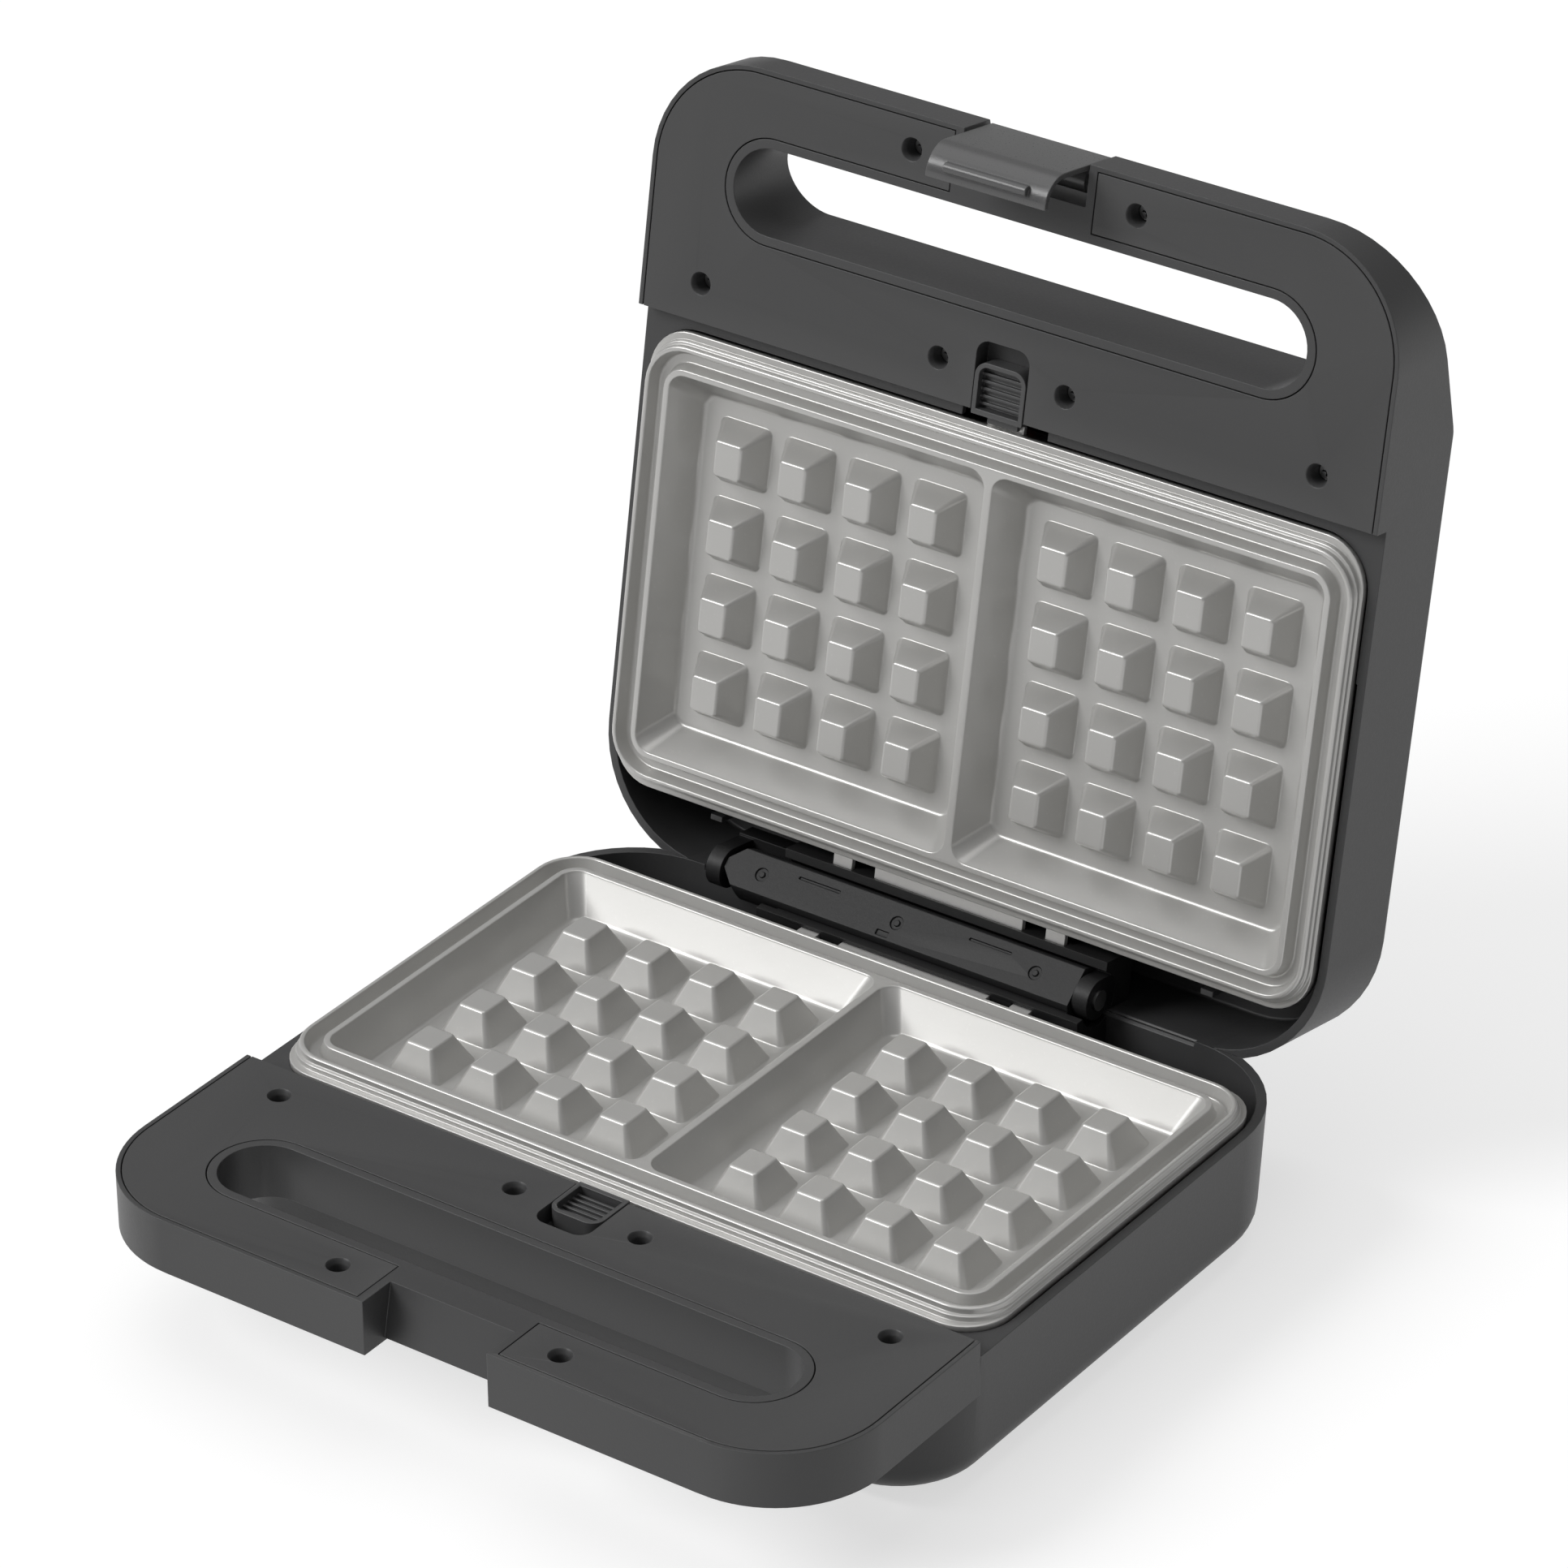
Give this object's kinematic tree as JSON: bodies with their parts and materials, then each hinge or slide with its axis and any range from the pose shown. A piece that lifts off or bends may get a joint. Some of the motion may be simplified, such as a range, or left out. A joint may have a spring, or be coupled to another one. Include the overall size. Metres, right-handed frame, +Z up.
{
  "type": "waffle maker",
  "caption": "Countertop waffle maker with a hinged lid, studded removable cooking plates, slotted carry handles and a sprung front latch.",
  "frame": {"origin": "on the surface that the appliance stands on, under the middle of the cooking plates", "axes": "+Z up, +Y from the handles to the hinge, +X to the right seen from the handles"},
  "size_m": [0.242, 0.2991, 0.2774],
  "materials": {
    "shell": "fine matt texture, near black",
    "latch": "satin, near black",
    "buttons": "satin, near black",
    "hinge_plastic": "satin, near black",
    "plate": "cast, with a satin grey non-stick coating",
    "tray": "bright pressed sheet",
    "heater": "dull heated steel",
    "ceramic": "glazed ceramic",
    "screws": "zinc plated",
    "pins": "plain turned",
    "rubber": "matt",
    "lenses": "clear tinted"
  },
  "bodies": {
    "base": {"base_shell": "shell", "base_handle_cover": "shell", "base_handle_screws": "screws", "base_plate": "plate", "base_heater_tray": "tray", "base_heater": "heater", "base_thermostat": "ceramic", "base_hinge_bracket": "hinge_plastic", "hinge_cover": "hinge_plastic", "hinge_pin": "pins", "rubber_feet": "rubber", "cord_gland": "rubber"},
    "base_button": {"base_release_button": "buttons"},
    "lid": {"lid_shell": "shell", "lid_handle_cover": "shell", "lid_handle_screws": "screws", "lid_plate": "plate", "lid_heater_tray": "tray", "lid_heater": "heater", "lid_thermal_fuse": "ceramic", "lid_hinge_bracket": "hinge_plastic", "indicator_lenses": "lenses", "latch_pin": "pins"},
    "lid_button": {"lid_release_button": "buttons"},
    "latch": {"latch": "latch"}
  },
  "joints": [
    {"name": "lid_hinge", "type": "hinge", "parent": "base", "child": "lid", "pos_m": [0, 0.0818, 0.048], "axis": [1, 0, 0], "range_deg": [0, 100.4]},
    {"name": "latch_pivot", "type": "hinge", "parent": "lid", "child": "latch", "pos_m": [0, 0.13123, 0.26748], "axis": [-1, 0, 0], "range_deg": [-4, 18], "stiffness_Nm_per_rad": 0.05},
    {"name": "base_button_slide", "type": "slide", "parent": "base", "child": "base_button", "axis": [0, -1, 0], "range_m": [0, 0.005], "stiffness_N_per_m": 600},
    {"name": "lid_button_slide", "type": "slide", "parent": "lid", "child": "lid_button", "axis": [0, 0.1805, 0.9836], "range_m": [0, 0.005], "stiffness_N_per_m": 600}
  ]
}
